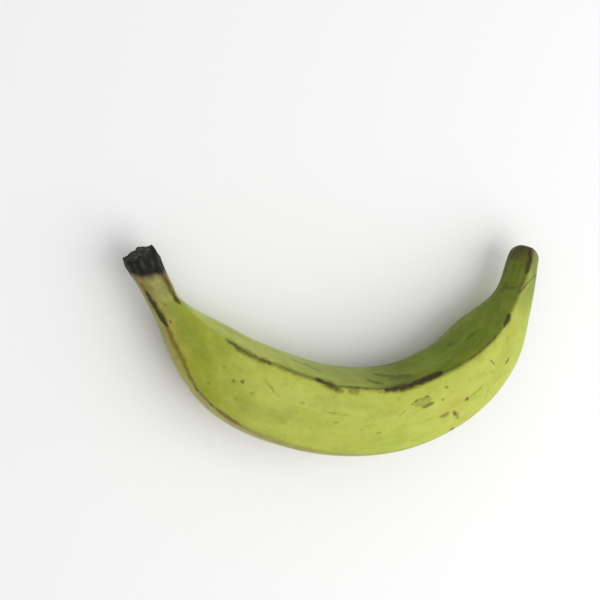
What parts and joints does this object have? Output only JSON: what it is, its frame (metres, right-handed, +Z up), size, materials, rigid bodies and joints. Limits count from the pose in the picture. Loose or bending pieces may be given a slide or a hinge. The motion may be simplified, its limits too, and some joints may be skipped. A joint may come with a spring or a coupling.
{
  "type": "plantain",
  "caption": "Unripe green cooking banana, curved and ridged, with a dark cut stem and a blunt blossom end, lying on its side.",
  "frame": {"origin": "on the ground, under the middle of the fruit's length and width", "axes": "+X along the fruit's length towards the blossom end, +Y towards the open side of its curve, +Z up from the face it rests on"},
  "size_m": [0.2352, 0.1192, 0.0467],
  "materials": {
    "peel": "satin waxy green-yellow peel with dry brown scars along the ridges, a black cut stem and a brown blossom end"
  },
  "bodies": {
    "root": {"plantain": "peel"}
  },
  "joints": []
}
